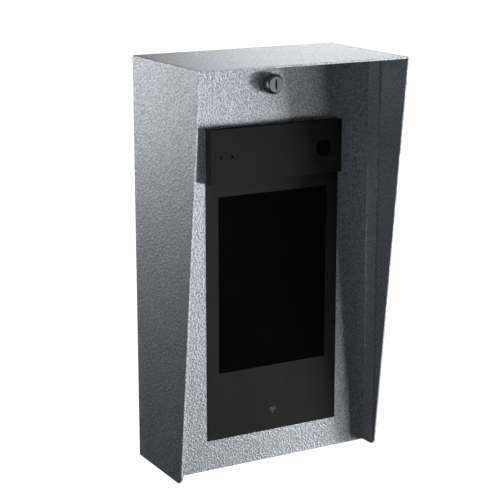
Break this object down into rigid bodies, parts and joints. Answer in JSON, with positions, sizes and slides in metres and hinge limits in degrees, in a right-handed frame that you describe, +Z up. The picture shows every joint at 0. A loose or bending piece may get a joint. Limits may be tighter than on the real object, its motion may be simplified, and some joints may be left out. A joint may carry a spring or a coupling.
{
  "type": "parking pay station",
  "caption": "Hooded, wall or pedestal mounted sheet-metal station with a locking drop-down door that carries a touchscreen terminal.",
  "frame": {"origin": "centre of the four-bolt pattern and of the cable hole, on the flat back face that sits against the wall or pedestal plate", "axes": "+Z up, front towards -Y, back bolts leave towards +Y, +X to the right of somebody facing the screen"},
  "size_m": [0.253, 0.1575, 0.4572],
  "materials": {
    "hammertone_paint": "silver hammertone powder coat, semi-gloss",
    "zinc_steel": "bright zinc plate",
    "dark_chrome": "polished, dark",
    "plug_steel": "satin",
    "black_rubber": "matt",
    "bezel_plastic": "fine moulded grain",
    "bar_plastic": "fine moulded grain",
    "black_plastic": "moulded",
    "grey_plastic": "moulded",
    "green_plastic": "moulded",
    "red_plastic": "moulded",
    "relay_blue": "moulded",
    "black_glass": "polished, back-printed black",
    "display_glass": "polished",
    "pressed_aluminium": "mill finish",
    "circuit_board": "solder resist",
    "brass_parts": "bright",
    "symbol_print": "printed"
  },
  "bodies": {
    "housing": {"wrap": "hammertone_paint", "top_panel": "hammertone_paint", "floor_panel": "hammertone_paint", "stop_angle_left": "hammertone_paint", "stop_angle_right": "hammertone_paint", "stop_angle_top": "hammertone_paint", "door_seal": "black_rubber", "strike_bracket": "zinc_steel", "hinge_leaf_fixed": "zinc_steel", "hinge_pin": "zinc_steel", "hinge_rivets": "zinc_steel", "cable_grommet": "black_rubber", "upper_plate": "zinc_steel", "lower_plate": "zinc_steel", "plate_standoffs": "zinc_steel", "plate_screws": "zinc_steel", "power_supply": "pressed_aluminium", "power_supply_terminals": "black_plastic", "modem": "black_plastic", "relay_board": "circuit_board", "relays": "relay_blue", "wiring_block": "grey_plastic", "earth_stud": "brass_parts", "earth_nuts": "brass_parts", "switch_body": "black_plastic"},
    "door": {"door_panel": "hammertone_paint", "hinge_leaf_moving": "zinc_steel", "lock_housing": "dark_chrome", "lock_nut": "zinc_steel", "lock_gasket": "black_rubber", "front_bezel": "bezel_plastic", "terminal_gasket": "black_rubber", "terminal_shell": "black_plastic", "shell_screws": "zinc_steel", "clamp_brackets": "zinc_steel", "clamp_screws": "zinc_steel", "touch_glass": "black_glass", "display_panel": "display_glass", "backlight_tray": "pressed_aluminium", "head_bar": "bar_plastic", "camera_window": "black_glass", "camera_barrel": "black_plastic", "camera_board": "circuit_board", "microphones": "zinc_steel", "speaker": "black_plastic", "main_board": "circuit_board", "board_standoffs": "brass_parts", "reader_board": "circuit_board", "reader_symbol": "symbol_print", "io_socket": "green_plastic", "harness_plug": "green_plastic", "door_harness": "black_rubber"},
    "lock_cylinder": {"lock_plug": "plug_steel", "lock_cam": "zinc_steel", "cam_screw": "zinc_steel"},
    "plunger": {"switch_plunger": "red_plastic"}
  },
  "joints": [
    {"name": "door_swing", "type": "hinge", "parent": "housing", "child": "door", "pos_m": [0, -0.0815, -0.2237], "axis": [1, 0, 0], "range_deg": [0, 90], "deforming": ["door_harness"]},
    {"name": "key_turn", "type": "hinge", "parent": "door", "child": "lock_cylinder", "pos_m": [-0.0022, -0.0869, 0.2], "axis": [0, -1, 0], "range_deg": [0, 90]},
    {"name": "plunger_travel", "type": "slide", "parent": "housing", "child": "plunger", "axis": [0, -1, 0], "range_m": [0, 0.00393]}
  ],
  "couplings": [
    {"joint": "plunger_travel", "follows": "door_swing", "m_per_rad": 0.0025}
  ]
}
